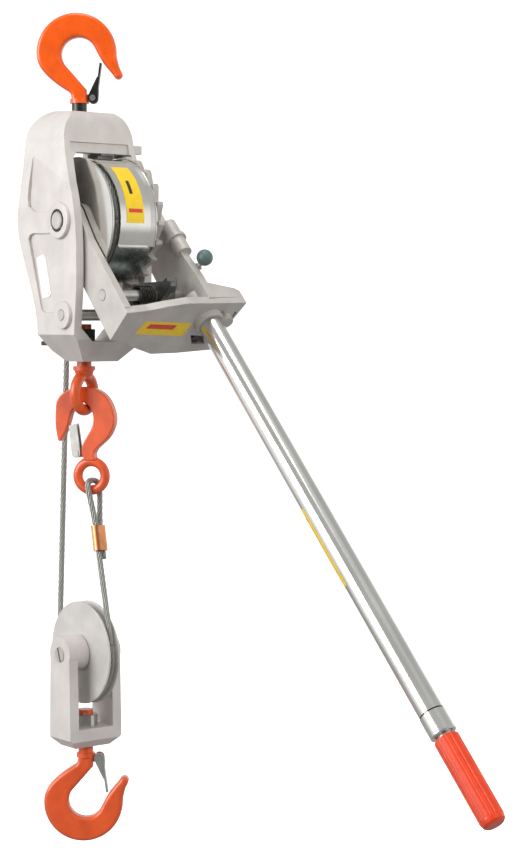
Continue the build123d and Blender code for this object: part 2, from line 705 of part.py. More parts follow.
loop_plane = Plane(origin=hang, x_dir=side, z_dir=side.cross(pull))
neck_along = ferrule_top - 3
mouth = Vector(lobe, neck_along)
tangent_at = atan2(mouth.Y, mouth.X) - acos(loop_turn_r / mouth.length)
turn_across, turn_along = loop_turn_r * cos(tangent_at), loop_turn_r * sin(tangent_at)
with BuildPart() as rope_loop:
    with BuildLine(loop_plane) as eye:
        Polyline((-lobe, ferrule_top + ferrule_length + tail_length), (-lobe, neck_along),
                 (-turn_across, turn_along))
        ThreePointArc((-turn_across, turn_along), (0, -loop_turn_r), (turn_across, turn_along))
        Polyline((turn_across, turn_along), (lobe, neck_along),
                 (lobe, ferrule_top + ferrule_length - 0.2))
        fillet(eye.vertices().filter_by(at_mouth), 20)
    eye_path = eye.wires()[0]
    with BuildSketch(Plane(origin=eye_path @ 0, z_dir=eye_path % 0)):
        Circle(rope_d / 2)
    sweep(path=eye_path)
save(rope_loop.part, "rope_loop")

with BuildPart() as ferrule:
    with BuildSketch(Plane(origin=on_loop(0, ferrule_top), x_dir=side, z_dir=pull)):
        SlotCenterToCenter(2 * lobe, 10.6)
        with Locations((-lobe, 0), (lobe, 0)):
            Circle(rope_d / 2 + 0.05, mode=Mode.SUBTRACT)
    extrude(amount=ferrule_length)
save(ferrule.part, "ferrule")

leg_top = on_loop(lobe, ferrule_top + ferrule_length + 0.2)
save(rod(leg_top, land - (land - leg_top).normalized() * 0.3, rope_d), "rope_right_leg")
leave = leave - Vector(0, 0, 0.3)
save(rod(leave, lift - (lift - leave).normalized() * 0.3, rope_d), "rope_left_leg")
with BuildPart() as rope_wrap:
    with BuildSketch(radial_plane(land_at, block_x, block_z)):
        with Locations((sheave_pitch_r, 0)):
            Circle(rope_d / 2)
    revolve(axis=Axis(sheave_centre, (0, 1, 0)), revolution_arc=land_at + 360 - leave_at)
save(rope_wrap.part, "rope_wrap")

# ---- Block: casting, sheave, bush, axle -------------------------------------------------------------
arm_y, arm_in = 33.0, 22.0
floor_z, foot_z = -80.0, -101.0
axle_r = 8.0


def block_side(y):
    return side_plane(y, block_x, block_z)


with BuildPart() as block_casting:
    with BuildSketch(block_side(0)):
        with BuildLine():
            Polyline((-18, 2), (18, 2), (20, floor_z), (20, -93), (13, foot_z), (-13, foot_z),
                     (-20, -93), (-20, floor_z),
                     close=True)
        make_face()
        Circle(19)
    extrude(amount=arm_y, both=True)
    with BuildSketch(front_plane(block_x, block_z)):
        with BuildLine():
            Polyline((-arm_y, 30), (arm_y, 30), (arm_y, -91), (22, foot_z), (-22, foot_z),
                     (-arm_y, -91), close=True)
        make_face()
    extrude(amount=40, both=True, mode=Mode.INTERSECT)
    with BuildSketch(front_plane(block_x, block_z)):
        with Locations((0, floor_z + 60)):
            Rectangle(2 * arm_in, 120)
    extrude(amount=40, both=True, mode=Mode.SUBTRACT)
    for side_y, outward in ((-arm_in, 1), (arm_in, -1)):
        with BuildSketch(block_side(side_y)):
            Circle(19)
        extrude(amount=-outward * (arm_in - sheave_w / 2 - 0.6))
    with BuildSketch(block_side(0)):
        Circle(axle_r)
    extrude(amount=40, both=True, mode=Mode.SUBTRACT)
    with BuildSketch(flat_plane(block_x, 0, block_z + foot_z - 1)):
        Circle(shank_r + 0.2)
    extrude(amount=40, mode=Mode.SUBTRACT)
save(block_casting.part, "block_casting")

sheave_plane = Plane(origin=sheave_centre, x_dir=(1, 0, 0), z_dir=(0, 0, 1))
groove_r = rope_d / 2 + 0.35
with BuildPart() as sheave:
    with BuildSketch(sheave_plane):
        with BuildLine():
            Polyline((11, -sheave_w / 2), (sheave_r - 0.6, -sheave_w / 2),
                     (sheave_r, -sheave_w / 2 + 0.6),
                     (sheave_r, -5.0), (sheave_pitch_r, -groove_r))
            ThreePointArc((sheave_pitch_r, -groove_r), (sheave_pitch_r - groove_r, 0),
                          (sheave_pitch_r, groove_r))
            Polyline((sheave_pitch_r, groove_r), (sheave_r, 5.0), (sheave_r, sheave_w / 2 - 0.6),
                     (sheave_r - 0.6, sheave_w / 2), (11, sheave_w / 2), (11, -sheave_w / 2))
        make_face()
    revolve(axis=Axis(sheave_centre, (0, 1, 0)))
save(sheave.part, "sheave")
save(turned([(axle_r + run_gap, -sheave_w / 2), (11, -sheave_w / 2), (11, sheave_w / 2),
             (axle_r + run_gap, sheave_w / 2)], sheave_plane), "sheave_bush")

with BuildPart() as sheave_axle:
    with BuildSketch(block_side(-arm_y - 1)):
        Circle(axle_r)
    extrude(amount=-2 * (arm_y + 1))
    for end in (-1, 1):
        with BuildSketch(block_side(end * (arm_y - 1.5))):
            Rectangle(3.2, 20, rotation=20)
        extrude(amount=-end * 4, mode=Mode.SUBTRACT)
save(sheave_axle.part, "sheave_axle")

with BuildPart() as axle_keys:
    for end in (-1, 1):
        with BuildSketch(block_side(end * (arm_y - 1.5))):
            Rectangle(3.1, 14, rotation=20)
        extrude(amount=-end * 1.5)
save(axle_keys.part, "axle_keys")

# ---- Yoke: one casting astride the frame, with the handle's socket ----------------------------------
with BuildPart() as yoke_casting:
    with BuildSketch(lever_plane(left_arm_y)):
        Circle(19)
        with BuildLine():
            Polyline((0, 18.9), (40, 13), (wall_s + 2, 12), (wall_s + 2, -30), (45, -27), (0, -18.9),
                     close=True)
        make_face()
    extrude(amount=-left_arm_t)
    with BuildSketch(lever_plane(right_arm_y)):
        Circle(20)
        with BuildLine():
            Polyline((0, 19.9), (22, 19.5), (103, 27.3), (wall_s + 2, 27.3), (wall_s + 2, -30),
                     (40, -28), (0, -19.9),
                     close=True)
        make_face()
    extrude(amount=-right_arm_t)
    with BuildSketch(side_plane(cheek_y + boss_proud + 1)):
        Circle(15)
    extrude(amount=-(right_arm_y - cheek_y - boss_proud))
    with BuildSketch(handle_plane(wall_s, 0)):
        with BuildLine():
            Polyline((-37, -30), (-37, 11), (-31.6, 11.4), (-11, 14.5), (11, 20.7), (34, 25.4),
                     (108, 27), (103, -12),
                     (101, -46), (57, -50.5), (25, -51.5), (-8.5, -39), (-26, -32), close=True)
        make_face()
    extrude(amount=wall_t)
    # Solid corner beside the socket
    with BuildSketch(crest_plane(27)):
        with BuildLine():
            Polyline((62, 112), (71, 113), (103, 121), (107.9, 125), (107.9, wall_s + 1),
                     (62, wall_s + 1), close=True)
        make_face()
    extrude(amount=45)
    with BuildSketch(handle_plane(112)):
        Circle(17)
    extrude(amount=wall_s - 111)
    # Collar and ear of the socket, and the plunger housing on the long arm
    with BuildSketch(handle_plane(wall_s + wall_t - 1)):
        Circle(16)
        with Locations((19, 3)):
            Circle(8)
    extrude(amount=8)
    with BuildSketch(handle_plane(24, 68)):
        with Locations((0, 22)):
            Circle(8.7)
    extrude(amount=42)
    with BuildSketch(handle_plane(43.5, 68)):
        with Locations((0, 22)):
            Circle(11)
    extrude(amount=4)
    # Bores, window over the socket bolt and the corner recess
    with BuildSketch(side_plane(0)):
        Circle(shaft_r + run_gap)
    extrude(amount=90, both=True, mode=Mode.SUBTRACT)
    with BuildSketch(lever_plane(0)):
        with Locations((pawl_s, pawl_n)):
            Circle(6)
    extrude(amount=60, both=True, mode=Mode.SUBTRACT)
    with BuildSketch(lever_plane(55)):
        with Locations((pawl_s, pawl_n)):
            Circle(6)
    extrude(amount=-12, mode=Mode.SUBTRACT)
    with BuildSketch(handle_plane(tube_start)):
        Circle(tube_r)
    extrude(amount=60, mode=Mode.SUBTRACT)
    pin_plane = Plane(origin=handle_plane(145).origin,
                      z_dir=(handle_plane(145).x_dir + handle_plane(145).y_dir))
    with BuildSketch(pin_plane.offset(12)):
        Circle(2.2)
    extrude(amount=12, mode=Mode.SUBTRACT)
    with BuildSketch(handle_plane(wall_s + 2, 0)):
        with BuildLine():
            Polyline((62, -23), (79, -24), (88, -36.5), (71, -37), close=True)
        make_face()
    extrude(amount=20, mode=Mode.SUBTRACT)
    with BuildSketch(handle_plane(wall_s + 4, 0)):
        with BuildLine():
            Polyline((100, 12.5), (104, 12.5), (101.5, 0), close=True)
        make_face()
    extrude(amount=20, mode=Mode.SUBTRACT)
save(yoke_casting.part, "yoke_casting")

with BuildPart() as socket_bolt:
    with BuildSketch(handle_plane(wall_s + 2, 75)):
        with Locations((0, -30.5)):
            RegularPolygon(5.5, 6, major_radius=False)
    extrude(amount=4.5)
save(socket_bolt.part, "socket_bolt")

with BuildPart() as handle_pin:
    with BuildSketch(pin_plane.offset(tube_r + 0.1)):
        Circle(2.2)
    extrude(amount=6.2)
save(handle_pin.part, "handle_pin")

with BuildPart() as yoke_pawl_shaft:
    with BuildSketch(lever_at(pawl_s, pawl_n, left_arm_y - 0.5)):
        Circle(6)
    extrude(amount=-(67 - left_arm_y))
    chamfer(yoke_pawl_shaft.faces().sort_by(Axis.Y)[0].edges(), 0.8)
save(yoke_pawl_shaft.part, "yoke_pawl_shaft")
save(spring(lever_at(pawl_s, pawl_n, 24.5), 19, 9.0, 2.4, 6), "drive_pawl_spring")

# ---- Pawls ------------------------------------------------------------------------------------------
pawl_y, pawl_w = 28.9, 6.4
with BuildPart() as drive_pawl:
    with BuildSketch(side_plane(pawl_y)):
        with BuildLine():
            Polyline((30.8, -66.6), (37, -64.6), (84, -63.1), (89.6, -64.2), (89.6, -68.4), (69, -86.5),
                     (52, -86.5),
                     (46, -80.5), (33.5, -71.5), close=True)
        make_face()
    extrude(amount=-pawl_w)
    with BuildSketch(lever_plane(pawl_y + pawl_w)):
        with Locations((pawl_s, pawl_n)):
            Circle(10.5)
        with BuildLine():
            Polyline((104, 0), (100, 9), (94, 14), (91, 2), close=True)
        make_face()
    extrude(amount=-13)
    with BuildSketch(lever_plane(pawl_y - 1)):
        with Locations((pawl_s, pawl_n)):
            Circle(6 + run_gap)
    extrude(amount=-25, mode=Mode.SUBTRACT)
save(drive_pawl.part, "drive_pawl")

with BuildPart() as hold_pawl:
    with BuildSketch(side_plane(pawl_y)):
        with Locations((pawl_shaft_x, pawl_shaft_z)):
            Circle(10.5)
        with BuildLine():
            Polyline((15.5, -92), (3, -78), (-12.8, -70.4), (-15.4, -75.5), (-6, -92), (-3, -104),
                     close=True)
        make_face()
        with BuildLine():
            Polyline((2, -91), (-60, -96), (-60, -103), (2, -107), close=True)
        make_face()
        with Locations((-60, -99.5)):
            Circle(5)
    extrude(amount=-pawl_w)
    with BuildSketch(side_plane(pawl_y - 1)):
        with Locations((pawl_shaft_x, pawl_shaft_z)):
            Circle(pawl_shaft_r + run_gap)
    extrude(amount=-10, mode=Mode.SUBTRACT)
save(hold_pawl.part, "hold_pawl")

# ---- Free-wheel control on the long arm -------------------------------------------------------------
control_s, control_n = 80.0, 10.0
with BuildPart() as control_lever:
    with BuildSketch(lever_plane(right_arm_y + right_arm_t + 0.3)):
        with Locations((control_s, control_n)):
            Circle(8)
        with BuildLine():
            Polyline((76, 14), (85.5, 27.5), (92.5, 26.5), (88, 9), close=True)
        make_face()
    extrude(amount=-4)
    with BuildSketch(Plane(origin=lever_at(89.2, 25.5, 73.3).origin, z_dir=lever_at(0, 0, 0).y_dir)):
        Circle(2.2)
    extrude(amount=7)
save(control_lever.part, "control_lever")
save(Pos(*lever_at(89.2, 39.5, 73.3).origin) * Sphere(8.7) - control_lever.part, "control_knob")
with BuildPart() as control_screw:
    with BuildSketch(lever_at(control_s, control_n, right_arm_y + right_arm_t + 4.8)):
        RegularPolygon(5.5, 6, major_radius=False)
    extrude(amount=-4)
save(control_screw.part, "control_screw")

# ---- Handle: tube, lock collar, sliding rod and grip --------------------------------------------------
with BuildPart() as handle_tube:
    with BuildSketch(handle_plane(tube_start)):
        Circle(tube_r)
        Circle(tube_r - 2, mode=Mode.SUBTRACT)
    extrude(amount=tube_end - tube_start)
save(handle_tube.part, "handle_tube")

with BuildPart() as tube_plug:
    with BuildSketch(handle_plane(tube_end - 30)):
        Circle(tube_r - 2)
        Circle(8 + run_gap, mode=Mode.SUBTRACT)
    extrude(amount=30)
save(tube_plug.part, "tube_plug")

with BuildPart() as lock_collar:
    with BuildSketch(handle_plane(tube_end + 0.5)):
        Circle(13.2)
        Circle(8.4, mode=Mode.SUBTRACT)
    extrude(amount=24)
    chamfer(lock_collar.faces().filter_by(GeomType.PLANE).edges().filter_by(
        lambda e: e.radius > 13), 1.2)
save(lock_collar.part, "lock_collar")

with BuildPart() as grip_rod:
    with BuildSketch(handle_plane(tube_end - 150)):
        Circle(8)
    extrude(amount=150 + 29 + 60)
save(grip_rod.part, "grip_rod")

grip_start = tube_end + 28
grip_length = grip_end - grip_start
grip_plane = Plane(origin=handle_plane(grip_start).origin, x_dir=(0, 1, 0), z_dir=crest_plane(0).z_dir)
with BuildPart() as grip:
    with BuildSketch(handle_plane(grip_start)):
        Circle(12.6)
        with PolarLocations(13.3, 16):
            Circle(1.3, mode=Mode.SUBTRACT)
    extrude(amount=grip_length - 7)
    with BuildSketch(handle_plane(grip_end - 7)):
        Circle(12.2)
    extrude(amount=7)
    add(turned([(0, 0), (11.6, 0), (12.6, 1.5), (12.6, grip_length - 7), (11.4, grip_length - 2.2),
                (9, grip_length), (0, grip_length)], grip_plane), mode=Mode.INTERSECT)
    with BuildSketch(handle_plane(grip_start)):
        Circle(8)
    extrude(amount=61, mode=Mode.SUBTRACT)
save(grip.part, "grip")
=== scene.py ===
"""Looks of the lever-operated cable hoist: materials, stranded wire rope, blank labels and the studio."""
from math import acos, atan2, cos, hypot, pi, radians, sin

import bpy
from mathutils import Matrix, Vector


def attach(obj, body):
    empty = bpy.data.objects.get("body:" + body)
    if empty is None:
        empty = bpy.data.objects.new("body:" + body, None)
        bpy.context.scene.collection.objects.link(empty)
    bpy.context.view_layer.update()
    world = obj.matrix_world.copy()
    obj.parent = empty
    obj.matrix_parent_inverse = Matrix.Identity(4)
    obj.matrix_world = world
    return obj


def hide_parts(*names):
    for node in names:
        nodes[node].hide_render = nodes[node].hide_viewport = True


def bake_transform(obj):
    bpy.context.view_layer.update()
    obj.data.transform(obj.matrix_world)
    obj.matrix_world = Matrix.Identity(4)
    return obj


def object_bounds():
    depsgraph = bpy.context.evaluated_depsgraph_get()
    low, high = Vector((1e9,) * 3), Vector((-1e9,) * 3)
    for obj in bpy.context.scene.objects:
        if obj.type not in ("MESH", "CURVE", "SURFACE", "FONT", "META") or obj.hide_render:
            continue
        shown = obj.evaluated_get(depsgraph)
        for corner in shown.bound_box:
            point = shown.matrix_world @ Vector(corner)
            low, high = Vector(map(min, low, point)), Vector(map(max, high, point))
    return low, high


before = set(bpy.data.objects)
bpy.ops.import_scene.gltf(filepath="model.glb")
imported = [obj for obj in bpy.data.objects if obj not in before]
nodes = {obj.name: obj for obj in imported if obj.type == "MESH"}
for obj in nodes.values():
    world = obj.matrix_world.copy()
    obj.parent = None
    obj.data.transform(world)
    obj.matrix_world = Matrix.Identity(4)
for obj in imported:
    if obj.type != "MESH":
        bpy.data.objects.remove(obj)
cad_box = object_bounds()

# ---- Places taken from the CAD, in metres -----------------------------------------------------------
DRUM = Vector((0.034, 0.0, -0.1785))
LEVER = radians(43.0)
ALONG = Vector((sin(LEVER), 0.0, -cos(LEVER)))
CREST = Vector((cos(LEVER), 0.0, sin(LEVER)))
ACROSS = Vector((0.0, 1.0, 0.0))
TUBE_Y = 0.072
TUBE_R = 0.0127
WALL_FACE = 0.142
BAND_R = 0.066
ROPE_D = 0.00635
WIND_R = 0.058
INNER_WIND_R = 0.0516
TURN_PITCH = 0.0064
ROPE_Y = 0.0033
SHEAVE = Vector((0.007, 0.0, -0.6395))
SHEAVE_R = 0.050
BECKET_YAW = radians(36.0)
EYE_RING_BELOW_DRUM = 0.2705
EYE_RING_OFFSET = 0.0079
EYE_RING_R = 0.0153
EYE_RING_TILT = radians(10)
EYE_SIDE = Vector((0.244, -0.969, 0))

# ---- Make of the rope and the labels ----------------------------------------------------------------
STRANDS = 6
STRAND_SIDES = 7
LAY_LENGTH = 0.042
POINT_STEP = 0.003
LAST_TURN = radians(322)
TURN_START_GAP = 0.01
LABEL_LIFT = 0.15
PRINT_LIFT = 0.30
BAND_LABEL_DEPTH = 0.00015
TUBE_LABEL_DEPTH = 0.00012


# ---- Materials ----------------------------------------------------------------------------------------
def new_material(name):
    material = bpy.data.materials.new(name)
    material.use_nodes = True
    tree = material.node_tree
    return material, tree.nodes, tree.links, tree.nodes["Principled BSDF"]


def noise(tree_nodes, links, coords, scale, detail=3.0, stretch=(1, 1, 1)):
    """Noise on object coordinates, scaled per metre."""
    mapping = tree_nodes.new("ShaderNodeMapping")
    mapping.inputs["Scale"].default_value = [scale * part for part in stretch]
    links.new(coords.outputs["Object"], mapping.inputs["Vector"])
    texture = tree_nodes.new("ShaderNodeTexNoise")
    texture.inputs["Scale"].default_value = 1.0
    texture.inputs["Detail"].default_value = detail
    links.new(mapping.outputs["Vector"], texture.inputs["Vector"])
    return texture


def ramp_colour(tree_nodes, links, source, stops):
    ramp = tree_nodes.new("ShaderNodeValToRGB")
    for index, (place, colour) in enumerate(stops):
        if index < 2:
            element = ramp.color_ramp.elements[index]
        else:
            element = ramp.color_ramp.elements.new(place)
        element.position = place
        element.color = (*colour, 1.0)
    links.new(source, ramp.inputs["Fac"])
    return ramp


def tint(colour, factor):
    return tuple(min(1.0, channel * factor) for channel in colour)


def finish(name, colour, metallic, roughness, mottle=30.0, contrast=0.12, grain=700.0, bump=0.15,
           depth=0.0002, coat=0.0, stretch=(1, 1, 1), spread=0.08, round_edges=False):
    """Metal or paint with a mottled colour, an uneven gloss and a fine grain."""
    material, tree_nodes, links, shader = new_material(name)
    coords = tree_nodes.new("ShaderNodeTexCoord")
    blotch = noise(tree_nodes, links, coords, mottle)
    ramp = ramp_colour(tree_nodes, links, blotch.outputs["Fac"],
                       [(0.3, tint(colour, 1 - contrast)), (0.7, tint(colour, 1 + contrast))])
    links.new(ramp.outputs["Color"], shader.inputs["Base Color"])
    shader.inputs["Metallic"].default_value = metallic
    fine = noise(tree_nodes, links, coords, grain, 4.0, stretch)
    gloss = tree_nodes.new("ShaderNodeMapRange")
    gloss.inputs["To Min"].default_value = roughness - spread
    gloss.inputs["To Max"].default_value = roughness + spread
    links.new(fine.outputs["Fac"], gloss.inputs["Value"])
    links.new(gloss.outputs["Result"], shader.inputs["Roughness"])
    relief = tree_nodes.new("ShaderNodeBump")
    relief.inputs["Strength"].default_value = bump
    relief.inputs["Distance"].default_value = depth
    links.new(fine.outputs["Fac"], relief.inputs["Height"])
    links.new(relief.outputs["Normal"], shader.inputs["Normal"])
    if round_edges:
        rounded = tree_nodes.new("ShaderNodeBevel")
        rounded.samples = 4
        rounded.inputs["Radius"].default_value = 0.0012
        links.new(rounded.outputs["Normal"], relief.inputs["Normal"])
    shader.inputs["Coat Weight"].default_value = coat
    shader.inputs["Coat Roughness"].default_value = 0.08
    return material


def strand_material(name, colour):
    """Galvanised strand: fine wires laid diagonally round each strand."""
    material, tree_nodes, links, shader = new_material(name)
    uv = tree_nodes.new("ShaderNodeUVMap")
    uv.uv_map = "lay"
    wires = tree_nodes.new("ShaderNodeTexWave")
    wires.wave_type = "BANDS"
    wires.bands_direction = "DIAGONAL"
    wires.inputs["Scale"].default_value = 2.2
    wires.inputs["Distortion"].default_value = 0.4
    links.new(uv.outputs["UV"], wires.inputs["Vector"])
    ramp = ramp_colour(tree_nodes, links, wires.outputs["Fac"],
                       [(0.0, tint(colour, 0.45)), (0.55, tint(colour, 1.15))])
    links.new(ramp.outputs["Color"], shader.inputs["Base Color"])
    relief = tree_nodes.new("ShaderNodeBump")
    relief.inputs["Strength"].default_value = 0.6
    relief.inputs["Distance"].default_value = 0.0002
    links.new(wires.outputs["Fac"], relief.inputs["Height"])
    links.new(relief.outputs["Normal"], shader.inputs["Normal"])
    shader.inputs["Metallic"].default_value = 0.85
    shader.inputs["Roughness"].default_value = 0.38
    return material


CAST = finish("cast_aluminium", (0.60, 0.565, 0.54), 0.25, 0.5, mottle=45, contrast=0.07, grain=1700,
              bump=0.5, round_edges=True)
YOKE_CAST = finish("yoke_casting_grey", (0.50, 0.475, 0.445), 0.3, 0.5, mottle=50, contrast=0.09, grain=1500,
                   bump=0.5, round_edges=True)
DRUM_CAST = finish("turned_aluminium", (0.52, 0.49, 0.46), 0.5, 0.42, mottle=60, grain=900, bump=0.3)
SHEAVE_CAST = finish("sheave_casting", (0.56, 0.54, 0.515), 0.3, 0.48, mottle=50, contrast=0.08, grain=1300,
                     bump=0.4)
ORANGE = finish("orange_enamel", (0.78, 0.095, 0.004), 0.0, 0.3, mottle=60, contrast=0.10, grain=160,
                bump=0.25, depth=0.0006, coat=0.35)
RED_ORANGE = finish("red_orange_enamel", (0.66, 0.088, 0.018), 0.0, 0.32, mottle=60, contrast=0.12, grain=160,
                    bump=0.25, depth=0.0006, coat=0.35)
BLACK_STEEL = finish("black_steel", (0.055, 0.057, 0.052), 0.8, 0.34, mottle=90, contrast=0.3, grain=900,
                     bump=0.2)
PAWL_STEEL = finish("pawl_steel", (0.17, 0.175, 0.165), 0.9, 0.33, mottle=90, contrast=0.2, grain=500,
                    bump=0.25, stretch=(1, 1, 5))
GROUND_STEEL = finish("ground_steel", (0.62, 0.60, 0.57), 0.9, 0.3, mottle=70, grain=1100, bump=0.15,
                      stretch=(1, 1, 6))
POLISHED = finish("polished_steel", (0.74, 0.735, 0.70), 1.0, 0.15, mottle=25, contrast=0.06, grain=500,
                  bump=0.04, spread=0.05)
BAND = finish("polished_band", (0.80, 0.79, 0.75), 1.0, 0.14, mottle=40, contrast=0.05, grain=700, bump=0.04,
              spread=0.04, stretch=(9, 1, 9))
SCRATCHED = finish("scratched_steel", (0.34, 0.385, 0.37), 0.95, 0.27, mottle=120, contrast=0.3, grain=220,
                   bump=0.4, stretch=(1, 12, 1))
ZINC = finish("zinc_plate", (0.62, 0.61, 0.58), 0.85, 0.34, mottle=110, contrast=0.12, grain=900, bump=0.15)
COPPER = finish("pressed_copper", (0.74, 0.30, 0.13), 0.85, 0.36, mottle=120, contrast=0.2, grain=800,
                bump=0.2)
BRONZE = finish("oil_bronze", (0.50, 0.30, 0.11), 0.9, 0.35, mottle=120, contrast=0.12, grain=900)
PLATE = finish("blank_plate", (0.84, 0.83, 0.80), 0.0, 0.4, mottle=160, contrast=0.05, grain=600, bump=0.1)
GRIP = finish("grip_vinyl", (0.66, 0.042, 0.003), 0.0, 0.34, mottle=80, contrast=0.10, grain=500, bump=0.12,
              coat=0.2)
# Painted reflection: the knob's dark grey-green colour is the dark surroundings as mirrored by plated steel,
# given here as the colour of a gloss plastic.
KNOB_PAINTED_REFLECTION = finish("knob_plastic", (0.085, 0.14, 0.135), 0.0, 0.4, mottle=140, contrast=0.08, grain=700, bump=0.08)
STRAND = strand_material("galvanised_strand", (0.54, 0.54, 0.50))
YELLOW = finish("yellow_label", (0.80, 0.55, 0.015), 0.0, 0.35, mottle=150, contrast=0.06, grain=700,
                bump=0.05)
RED = finish("red_label", (0.60, 0.05, 0.02), 0.0, 0.35, mottle=150, contrast=0.08, grain=700, bump=0.05)
INK = finish("ink", (0.03, 0.03, 0.025), 0.0, 0.45, mottle=150, contrast=0.2, grain=700, bump=0.05)

FINISHES = [
    (CAST, "frame_casting block_casting"),
    (YOKE_CAST, "yoke_casting"),
    (DRUM_CAST, "drum_barrel ratchet_wheel"),
    (SHEAVE_CAST, "sheave"),
    (ORANGE, "top_hook"),
    (RED_ORANGE, "load_hook becket_hook eye_bolt"),
    (PAWL_STEEL, "drive_pawl hold_pawl guard_pin guard_strap"),
    (BLACK_STEEL, "top_hook_shank top_latch top_hook_nut top_hook_washer drive_pawl_spring hold_pawl_spring "
                  "shaft_rings eye_nut control_screw socket_bolt tube_plug cable_guide"),
    (SCRATCHED, "guard_liner"),
    (GROUND_STEEL, "hold_pawl_shaft yoke_pawl_shaft drum_shaft sheave_axle axle_keys control_lever grip_rod "
                   "handle_pin top_hook_cotter load_hook_cotter top_latch_pin"),
    (POLISHED, "handle_tube lock_collar drum_disc"),
    (BAND, "guard_band"),
    (ZINC, "becket_latch becket_latch_pin load_latch load_latch_pin load_hook_nut"),
    (COPPER, "ferrule"),
    (BRONZE, "drum_bush sheave_bush"),
    (PLATE, "name_plate"),
    (GRIP, "grip"),
    (KNOB_PAINTED_REFLECTION, "control_knob"),
]
for material, names in FINISHES:
    for name in names.split():
        nodes[name].data.materials.clear()
        nodes[name].data.materials.append(material)


# ---- Meshes -------------------------------------------------------------------------------------------
def mesh_object(name, verts, faces, material, smooth=True, uvs=None):
    mesh = bpy.data.meshes.new(name)
    mesh.from_pydata([tuple(v) for v in verts], [], faces)
    mesh.materials.append(material)
    if smooth:
        mesh.shade_smooth()
    if uvs:
        layer = mesh.uv_layers.new(name="lay")
        for loop in mesh.loops:
            layer.data[loop.index].uv = uvs[loop.vertex_index]
    obj = bpy.data.objects.new(name, mesh)
    bpy.context.scene.collection.objects.link(obj)
    return obj


def frames_along(points):
    """Tangent, normal and side at each point, carried along without twist."""
    result = []
    count = len(points)
    normal = None
    for index in range(count):
        before = points[max(index - 1, 0)]
        after = points[min(index + 1, count - 1)]
        tangent = (after - before).normalized()
        if normal is None:
            guess = Vector((0, 1, 0)) if abs(tangent.y) < 0.9 else Vector((1, 0, 0))
            normal = tangent.cross(guess).normalized()
        normal = (normal - tangent * normal.dot(tangent)).normalized()
        result.append((tangent, normal, tangent.cross(normal)))
    return result


def strands(points):
    """Vertices, faces and lay coordinates of a rope's strands wound round a centre line."""
    strand_r = ROPE_D / 6.0
    ring_r = ROPE_D / 2 - strand_r
    overlap = 1.06
    wires_per_metre, wires_round = 420.0, 3.0
    axes = frames_along(points)
    distance = [0.0]
    for index in range(1, len(points)):
        distance.append(distance[-1] + (points[index] - points[index - 1]).length)
    verts, faces, uvs = [], [], []
    for strand in range(STRANDS):
        start = len(verts)
        for index, point in enumerate(points):
            tangent, normal, side = axes[index]
            turn = 2 * pi * (strand / STRANDS + distance[index] / LAY_LENGTH)
            out = normal * cos(turn) + side * sin(turn)
            round_way = side * cos(turn) - normal * sin(turn)
            centre = point + out * ring_r
            for step in range(STRAND_SIDES):
                angle = 2 * pi * step / STRAND_SIDES
                verts.append(centre + (out * cos(angle) + round_way * sin(angle)) * strand_r * overlap)
                uvs.append((distance[index] * wires_per_metre, step / STRAND_SIDES * wires_round))
        for index in range(len(points) - 1):
            for step in range(STRAND_SIDES):
                a = start + index * STRAND_SIDES + step
                b = start + index * STRAND_SIDES + (step + 1) % STRAND_SIDES
                faces.append((a, b, b + STRAND_SIDES, a + STRAND_SIDES))
        faces.append(tuple(start + step for step in reversed(range(STRAND_SIDES))))
        faces.append(tuple(start + (len(points) - 1) * STRAND_SIDES + step for step in range(STRAND_SIDES)))
    return verts, faces, uvs


def rope_object(name, runs):
    """One object of stranded rope along several centre lines."""
    verts, faces, uvs = [], [], []
    for points in runs:
        more_verts, more_faces, more_uvs = strands(points)
        base = len(verts)
        verts += more_verts
        uvs += more_uvs
        faces += [tuple(base + corner for corner in face) for face in more_faces]
    return mesh_object(name, verts, faces, STRAND, True, uvs)


def straight(start, end):
    count = max(2, round((end - start).length / POINT_STEP))
    return [start.lerp(end, index / count) for index in range(count + 1)]


def circle_points(centre, radius, start, end):
    """Points on an arc about the Y direction through centre, by angle from +X towards +Z."""
    count = max(4, round(abs(end - start) * radius / POINT_STEP))
    points = []
    for index in range(count + 1):
        angle = start + (end - start) * index / count
        points.append(centre + Vector((radius * cos(angle), 0, radius * sin(angle))))
    return points


# ---- Rope ---------------------------------------------------------------------------------------------
down_run = SHEAVE - DRUM
leave_at = atan2(down_run.z, down_run.x) - acos((WIND_R - SHEAVE_R) / hypot(down_run.x, down_run.z)) + 2 * pi
leave = DRUM + Vector((WIND_R * cos(leave_at), ROPE_Y, WIND_R * sin(leave_at)))
lift = SHEAVE + Vector((SHEAVE_R * cos(leave_at), 0, SHEAVE_R * sin(leave_at)))

becket_out = Vector((cos(BECKET_YAW), sin(BECKET_YAW), 0))
ring_centre = Vector((SHEAVE.x, 0, DRUM.z - EYE_RING_BELOW_DRUM)) + becket_out * EYE_RING_OFFSET
hang = ring_centre + (becket_out * sin(EYE_RING_TILT) - Vector((0, 0, 1)) * cos(EYE_RING_TILT)) * EYE_RING_R
to_hang = hang - SHEAVE
land_at = atan2(to_hang.z, to_hang.x) - acos(SHEAVE_R / hypot(to_hang.x, to_hang.z))
land = SHEAVE + Vector((SHEAVE_R * cos(land_at), 0, SHEAVE_R * sin(land_at)))
pull = (land - hang).normalized()
lobe_side = (EYE_SIDE - pull * EYE_SIDE.dot(pull)).normalized()


def on_loop(across, along):
    """Point of the rope eye, in millimetres across the line of pull and along it from the ring's bar."""
    return hang + lobe_side * across * 0.001 + pull * along * 0.001


left_leg = rope_object("rope_run_to_drum", [straight(leave, lift)])
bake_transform(left_leg)
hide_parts("rope_left_leg")

leg_top = on_loop(3.3, 66.0)
right_leg = rope_object("rope_run_to_ferrule", [straight(leg_top, land)])
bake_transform(right_leg)
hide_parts("rope_right_leg")

wrap = rope_object("rope_on_sheave", [circle_points(SHEAVE, SHEAVE_R, land_at, leave_at - 2 * pi)])
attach(wrap, "block")
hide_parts("rope_wrap")


